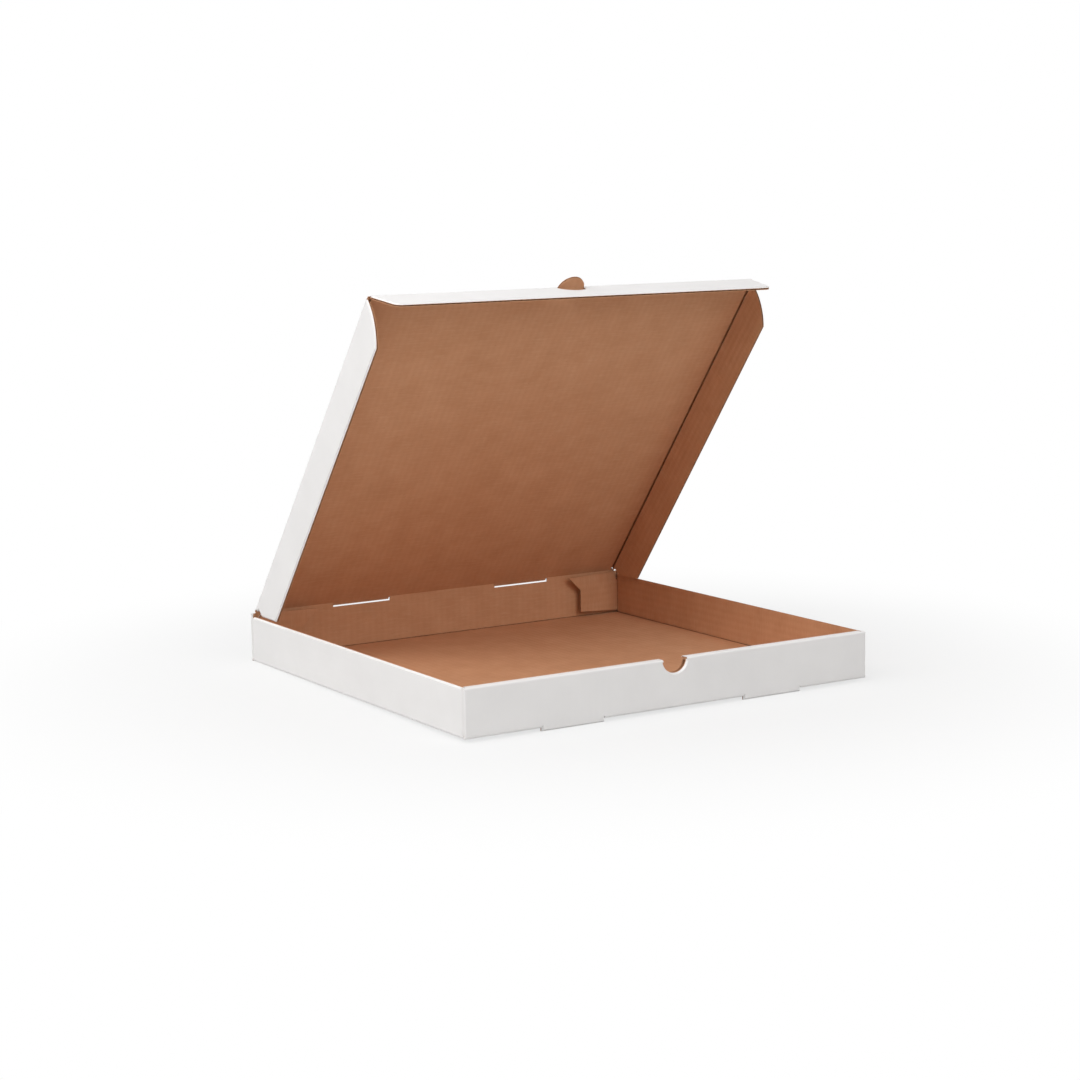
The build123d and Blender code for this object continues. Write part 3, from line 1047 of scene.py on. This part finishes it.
class PIZZABOX_OT_stage(bpy.types.Operator):
    """Sets the floor, the light and the camera"""

    bl_idname = "pizzabox.stage"
    bl_label = "Stage"

    def execute(self, context):
        scene, stage = context.scene, context.scene.pizza_box.stage
        scene.view_settings.view_transform = "Standard"
        self.floor(scene, stage)
        self.light(scene, stage)
        self.camera(scene, stage)
        return {"FINISHED"}

    def floor(self, scene, stage):
        """A pale round floor on which the box stands with its feet and its rear fold."""
        mesh = bpy.data.meshes.new("floor")
        disc = bmesh.new()
        bmesh.ops.create_circle(disc, cap_ends=True, segments=96, radius=stage.floor_radius)
        # It is tipped as the box leans, and kept 0.2 mm clear of the base
        tilt = Matrix.Rotation(math.atan2(-TRAY_LOW.z, 2 * TRAY_HIGH.y), 4, "X")
        disc.transform(Matrix.Translation(Z * (TRAY_LOW.z / 2 - 0.0002)) @ tilt)
        disc.to_mesh(mesh)
        disc.free()
        floor = bpy.data.objects.new("floor", mesh)
        scene.collection.objects.link(floor)
        material, tree = new_material("pale_studio_floor")
        spot = add_node(tree, "ShaderNodeTexCoord").outputs["Object"]
        reach = add_node(tree, "ShaderNodeVectorMath", {0: spot}, operation="LENGTH")
        # The floor runs into the white background, and keeps the shadow close to the box
        far = add_node(
            tree,
            "ShaderNodeMapRange",
            {
                "Value": reach.outputs["Value"],
                "From Min": stage.fade_start,
                "From Max": stage.fade_end,
                "To Min": stage.fade_share,
            },
            interpolation_type="SMOOTHSTEP",
        )
        share = add_node(
            tree, "ShaderNodeMath", {0: far.outputs[0], 1: plain_view(tree)}, operation="MULTIPLY"
        )
        matt = add_node(tree, "ShaderNodeBsdfDiffuse", {"Color": (*stage.floor, 1)})
        white = add_node(tree, "ShaderNodeEmission", {"Color": (1, 1, 1, 1), "Strength": 1.0})
        both = add_node(
            tree, "ShaderNodeMixShader", {0: share.outputs[0], 1: matt.outputs[0], 2: white.outputs[0]}
        )
        add_node(tree, "ShaderNodeOutputMaterial", {"Surface": both.outputs[0]})
        mesh.materials.append(material)

    def light(self, scene, stage):
        """Light from above, with large soft lamps all round but on the right."""
        world = bpy.data.worlds.new("studio")
        scene.world = world
        world.use_nodes = True
        tree = world.node_tree
        tree.nodes.clear()
        way = add_node(tree, "ShaderNodeTexCoord").outputs["Generated"]
        height = add_node(tree, "ShaderNodeSeparateXYZ", {0: way}).outputs[2]
        glow = add_node(
            tree,
            "ShaderNodeMapRange",
            {"Value": height, "To Min": stage.horizon, "To Max": stage.zenith},
        )
        # Seen by the camera the background is plain white
        level = add_node(
            tree,
            "ShaderNodeMapRange",
            {"Value": plain_view(tree), "To Min": glow.outputs[0], "To Max": 1.0},
        )
        sky = add_node(
            tree, "ShaderNodeBackground", {"Color": (1, 1, 1, 1), "Strength": level.outputs[0]}
        )
        add_node(tree, "ShaderNodeOutputWorld", {"Surface": sky.outputs[0]})
        lamps = (
            ("front_lamp", (0.2, -2.2, 1.3), stage.front_lamp),
            ("left_lamp", (-2.0, 0.1, 1.5), stage.left_lamp),
            ("corner_lamp", (-1.5, -1.0, 1.9), stage.corner_lamp),
            ("top_lamp", (-0.4, 0.2, 2.6), stage.top_lamp),
            ("rear_lamp", (-1.4, 2.2, 1.3), stage.rear_lamp),
        )
        for name, place, energy in lamps:
            lamp = bpy.data.lights.new(name, "AREA")
            lamp.shape = "DISK"
            lamp.size = stage.lamp_size
            lamp.energy = energy
            made = bpy.data.objects.new(name, lamp)
            made.location = place
            aim = Z * stage.aim_height - made.location
            made.rotation_euler = aim.to_track_quat("-Z", "Y").to_euler()
            scene.collection.objects.link(made)

    def camera(self, scene, stage):
        """Camera at the photograph's angle."""
        ahead = Vector(
            (
                math.sin(stage.yaw) * math.cos(stage.pitch),
                math.cos(stage.yaw) * math.cos(stage.pitch),
                -math.sin(stage.pitch),
            )
        )
        right = Vector((math.cos(stage.yaw), -math.sin(stage.yaw), 0))
        up = right.cross(ahead)
        rolled_right = right * math.cos(stage.roll) + up * math.sin(stage.roll)
        rolled_up = up * math.cos(stage.roll) - right * math.sin(stage.roll)
        data = bpy.data.cameras.new("camera")
        data.lens = data.sensor_width * stage.focal
        data.clip_start, data.clip_end = 0.05, 50.0
        camera = bpy.data.objects.new("camera", data)
        turned = Matrix((rolled_right, rolled_up, -ahead)).transposed().to_4x4()
        camera.matrix_world = Matrix.Translation(stage.camera_place) @ turned
        scene.collection.objects.link(camera)
        scene.camera = camera


class PIZZABOX_PT_panel(bpy.types.Panel):
    """Lists the steps that fold the box"""

    bl_idname = "PIZZABOX_PT_panel"
    bl_label = "Pizza Box"
    bl_space_type = "VIEW_3D"
    bl_region_type = "UI"
    bl_category = "Pizza Box"

    def draw(self, context):
        for step in STEPS:
            self.layout.operator(step.bl_idname)
        for group in ("board", "tray", "lid", "stage"):
            settings = getattr(context.scene.pizza_box, group)
            column = self.layout.box().column()
            for name in settings.__annotations__:
                column.prop(settings, name)


STEPS = (PIZZABOX_OT_tray, PIZZABOX_OT_lid, PIZZABOX_OT_flaps, PIZZABOX_OT_stage)
SETTINGS = (BoardSettings, TraySettings, LidSettings, StageSettings, BoxSettings)
CLASSES = (*SETTINGS, *STEPS, PIZZABOX_PT_panel)


def register():
    for cls in CLASSES:
        bpy.utils.register_class(cls)
    bpy.types.Scene.pizza_box = PointerProperty(type=BoxSettings)


def unregister():
    del bpy.types.Scene.pizza_box
    for cls in reversed(CLASSES):
        bpy.utils.unregister_class(cls)


def main():
    register()
    bpy.ops.pizzabox.tray()
    bpy.ops.pizzabox.lid()
    bpy.ops.pizzabox.flaps()
    bpy.ops.pizzabox.stage()


if __name__ == "__main__":
    main()
